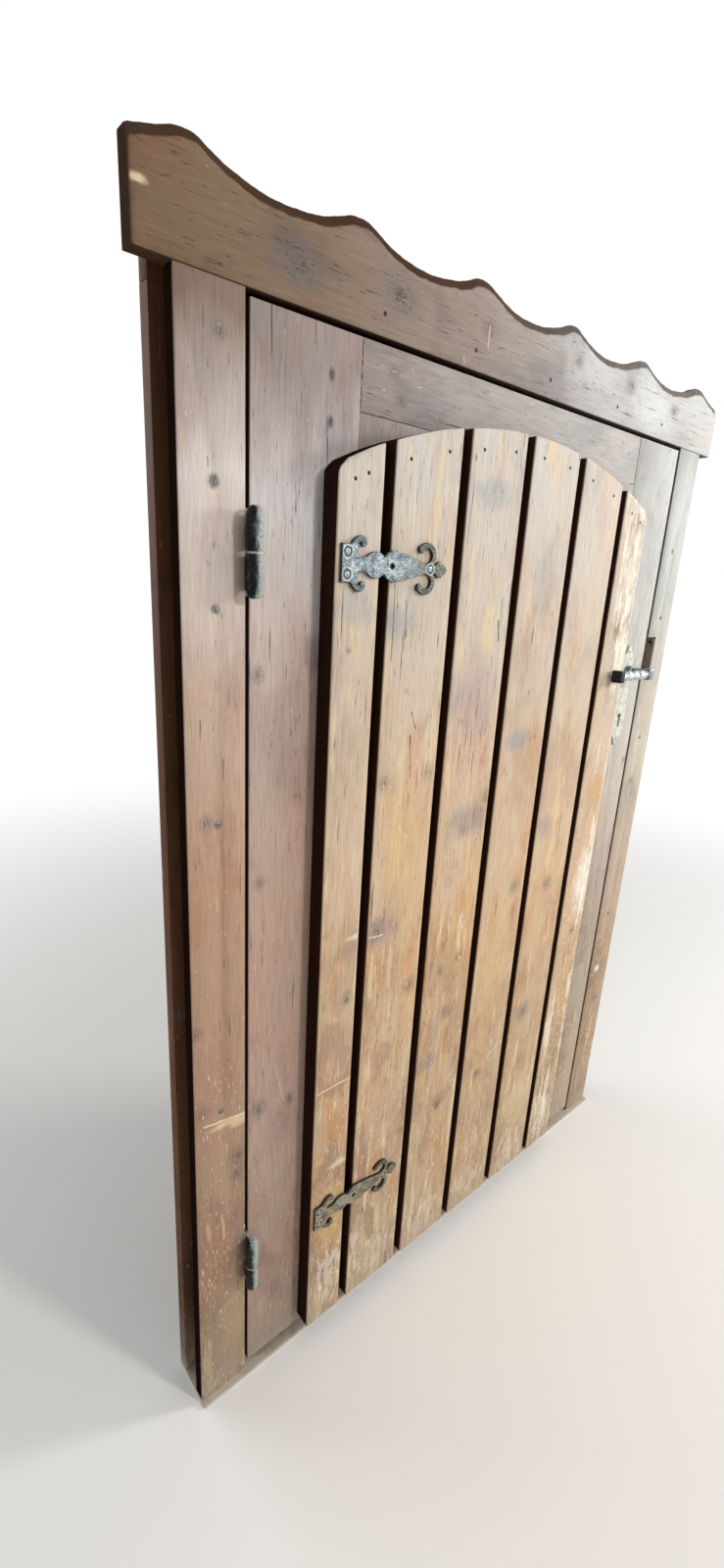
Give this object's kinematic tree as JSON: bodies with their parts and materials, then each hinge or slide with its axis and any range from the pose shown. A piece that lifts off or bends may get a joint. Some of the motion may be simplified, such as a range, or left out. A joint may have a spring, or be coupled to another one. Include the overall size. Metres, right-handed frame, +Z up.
{
  "type": "framed plank door",
  "caption": "Small plank door in its wooden frame, with an arched board overlay, fleur-de-lis strap plates, barrel hinges, twisted lever handle and a wavy head board.",
  "frame": {"origin": "underside of the threshold, on the leaf opening's centre line, in the plane of the front casings' faces", "axes": "+X across the door towards the lock side, +Y into the opening (the viewer and the leaf's swing are on the -Y side), +Z up"},
  "size_m": [1.089, 0.146, 1.5327],
  "materials": {
    "stained_wood": "faded brown-mauve stain, matt, weathered",
    "plank_wood": "worn cream and tan stain, matt, streaked with brown",
    "inner_wood": "dark reddish brown stain, matt",
    "sill_metal": "dull and dusty",
    "grey_iron": "hammered, blue-grey patina with black pits",
    "black_iron": "black, worn bright on the edges",
    "dark_steel": "dull, rusted",
    "bright_steel": "plain bright steel",
    "rusty_steel": "brown rust",
    "washer_brass": "bright, rust-stained below"
  },
  "bodies": {
    "frame": {"threshold": "sill_metal", "left_jamb": "inner_wood", "right_jamb": "inner_wood", "head_jamb": "inner_wood", "left_casing": "stained_wood", "right_casing": "stained_wood", "wavy_header": "stained_wood", "rear_left_casing": "inner_wood", "rear_right_casing": "inner_wood", "rear_head_casing": "inner_wood", "hinge_side_stop": "inner_wood", "lock_side_stop": "inner_wood", "head_stop": "inner_wood", "casing_screws": "dark_steel", "rear_casing_screws": "dark_steel", "header_nails": "dark_steel", "frame_hinge_halves": "black_iron", "hinge_pins": "bright_steel", "hinge_washers": "washer_brass", "frame_hinge_screws": "dark_steel", "strike_plate": "rusty_steel", "notch_plate": "rusty_steel", "strike_screws": "dark_steel"},
    "leaf": {"left_stile": "stained_wood", "right_stile": "stained_wood", "top_rail": "stained_wood", "middle_rail": "stained_wood", "bottom_rail": "stained_wood", "upper_infill_boards": "stained_wood", "lower_infill_boards": "stained_wood", "plank_1": "plank_wood", "plank_2": "plank_wood", "plank_3": "plank_wood", "plank_4": "plank_wood", "plank_5": "plank_wood", "plank_6": "plank_wood", "plank_nails": "dark_steel", "upper_strap": "grey_iron", "lower_strap": "grey_iron", "strap_screws": "grey_iron", "leaf_hinge_halves": "black_iron", "leaf_hinge_screws": "dark_steel", "lock_case": "bright_steel", "lock_cover": "bright_steel", "lock_faceplate": "bright_steel", "faceplate_screws": "bright_steel", "outer_plate": "grey_iron", "inner_plate": "grey_iron", "plate_screws": "dark_steel"},
    "handle": {"outer_lever": "black_iron", "inner_lever": "black_iron", "spindle": "bright_steel", "lock_follower": "bright_steel"},
    "latch": {"latch_bolt": "bright_steel"},
    "bolt": {"dead_bolt": "bright_steel"}
  },
  "joints": [
    {"name": "leaf_hinge", "type": "hinge", "parent": "frame", "child": "leaf", "pos_m": [-0.434, -0.015, 0], "axis": [0, 0, -1], "range_deg": [0, 165]},
    {"name": "handle_turn", "type": "hinge", "parent": "leaf", "child": "handle", "pos_m": [0.3715, 0, 1.047], "axis": [0, -1, 0], "range_deg": [0, 40], "stiffness_Nm_per_rad": 1.2, "springref_deg": -22.92},
    {"name": "latch_slide", "type": "slide", "parent": "leaf", "child": "latch", "axis": [-1, 0, 0], "range_m": [0, 0.0126]},
    {"name": "dead_bolt_slide", "type": "slide", "parent": "leaf", "child": "bolt", "axis": [1, 0, 0], "range_m": [0, 0.014]}
  ],
  "couplings": [
    {"joint": "latch_slide", "follows": "handle_turn", "m_per_rad": 0.0179}
  ]
}
